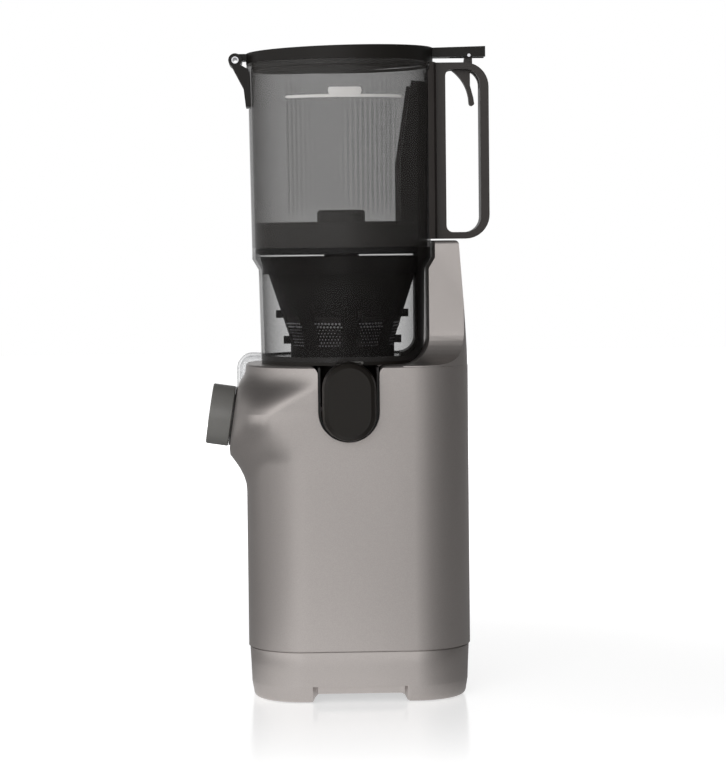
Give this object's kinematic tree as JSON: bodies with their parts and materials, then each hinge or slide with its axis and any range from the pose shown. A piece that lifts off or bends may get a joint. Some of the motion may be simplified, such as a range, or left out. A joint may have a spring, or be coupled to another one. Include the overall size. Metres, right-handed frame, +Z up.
{
  "type": "cold press juicer",
  "caption": "Upright slow juicer: grey base with a leaning knob and back column, lift-off bowl with strainer and auger, tall lidded hopper with a loop handle.",
  "frame": {"origin": "middle of the floor plan, on the floor under the feet", "axes": "+Z up; -X the front with the control knob; +X the back with the column and the handle; -Y the pulp side, which the picture shows; +Y the juice side"},
  "size_m": [0.2153, 0.1982, 0.4833],
  "materials": {
    "housing": "satin warm grey with a fine metallic grain",
    "knob": "satin dark grey",
    "black_plastic": "matt",
    "chute_plastic": "satin",
    "handle_plastic": "fine grain",
    "dark_smoke": "dark see-through",
    "clear_smoke": "clear, lightly smoked",
    "clear_pale": "clear",
    "cap_plastic": "milky",
    "auger_plastic": "satin",
    "mesh_metal": "perforated sheet",
    "rubber": "matt",
    "pale_rubber": "matt",
    "steel": "turned",
    "motor_steel": "plated",
    "gear_plastic": "matt",
    "gearbox_metal": "cast",
    "board": "laminate"
  },
  "bodies": {
    "base": {"lower_housing": "housing", "upper_housing": "housing", "base_skirt": "housing", "bottom_plate": "black_plastic", "foot_pads": "rubber", "bottom_screws": "steel", "chute_liner": "black_plastic", "knob_bezel": "black_plastic", "switch_body": "black_plastic", "cord_gland": "black_plastic", "motor_can": "motor_steel", "motor_bearings": "steel", "gearbox_case": "gearbox_metal", "gearbox_cover": "gearbox_metal", "gearbox_screws": "steel", "cluster_axle": "steel", "drive_bearings": "steel", "drive_seal": "rubber", "control_board": "board", "interlock_switch": "black_plastic"},
    "knob": {"control_knob": "knob", "switch_spindle": "steel"},
    "rotor": {"rotor_core": "motor_steel", "rotor_shaft": "steel", "cooling_fan": "black_plastic"},
    "cluster": {"cluster_gear": "gear_plastic"},
    "drive": {"output_gear": "gear_plastic", "drive_shaft": "steel"},
    "bowl_set": {"bowl": "clear_smoke", "back_rib": "chute_plastic", "juice_spout": "clear_pale", "bowl_base": "chute_plastic", "bowl_gasket": "rubber", "pulp_chute": "chute_plastic", "pulp_plug": "rubber", "strainer_frame": "auger_plastic", "strainer_mesh": "mesh_metal", "collar_seal": "rubber", "cap_pin": "steel"},
    "spout_cap": {"juice_cap": "cap_plastic", "cap_seal": "pale_rubber"},
    "auger_set": {"auger": "auger_plastic", "auger_head": "auger_plastic"},
    "hopper_set": {"hopper": "clear_smoke", "feed_funnel": "dark_smoke", "feed_guide": "dark_smoke", "handle": "handle_plastic", "handle_screws": "steel", "hinge_bracket": "dark_smoke", "hinge_pin": "steel"},
    "lid": {"hopper_lid": "dark_smoke", "lid_seal": "rubber", "trigger_pin": "steel"},
    "trigger": {"lid_trigger": "handle_plastic"}
  },
  "joints": [
    {"name": "knob_turn", "type": "hinge", "parent": "base", "child": "knob", "pos_m": [-0.0863, 0, 0.2075], "axis": [-0.9888, 0, 0.1495], "range_deg": [-45, 45]},
    {"name": "motor_spin", "type": "hinge", "parent": "base", "child": "rotor", "pos_m": [0.0142, 0, 0.1], "axis": [0, 0, 1], "continuous": true},
    {"name": "cluster_spin", "type": "hinge", "parent": "base", "child": "cluster", "pos_m": [0.0466, 0, 0.17], "axis": [0, 0, 1], "continuous": true},
    {"name": "drive_spin", "type": "hinge", "parent": "base", "child": "drive", "pos_m": [-0.0038, 0, 0.2], "axis": [0, 0, 1], "continuous": true},
    {"name": "bowl_lift", "type": "slide", "parent": "base", "child": "bowl_set", "axis": [0, 0, 1], "range_m": [0, 0.13]},
    {"name": "auger_spin", "type": "hinge", "parent": "bowl_set", "child": "auger_set", "pos_m": [-0.0038, 0, 0.29], "axis": [0, 0, 1], "continuous": true},
    {"name": "juice_cap_open", "type": "hinge", "parent": "bowl_set", "child": "spout_cap", "pos_m": [-0.07258, 0.09767, 0.2309], "axis": [1, 0, 0], "range_deg": [0, 80]},
    {"name": "hopper_lift", "type": "slide", "parent": "bowl_set", "child": "hopper_set", "axis": [0, 0, 1], "range_m": [0, 0.12]},
    {"name": "lid_open", "type": "hinge", "parent": "hopper_set", "child": "lid", "pos_m": [-0.0818, 0, 0.4741], "axis": [0, -1, 0], "range_deg": [0, 100]},
    {"name": "trigger_pull", "type": "hinge", "parent": "lid", "child": "trigger", "pos_m": [0.093, 0, 0.4766], "axis": [0, -1, 0], "range_deg": [0, 4], "stiffness_Nm_per_rad": 0.1, "springref_deg": -5.73}
  ],
  "couplings": [
    {"joint": "cluster_spin", "follows": "motor_spin", "ratio": -0.2},
    {"joint": "drive_spin", "follows": "motor_spin", "ratio": 0.04},
    {"joint": "auger_spin", "follows": "motor_spin", "ratio": 0.04}
  ]
}
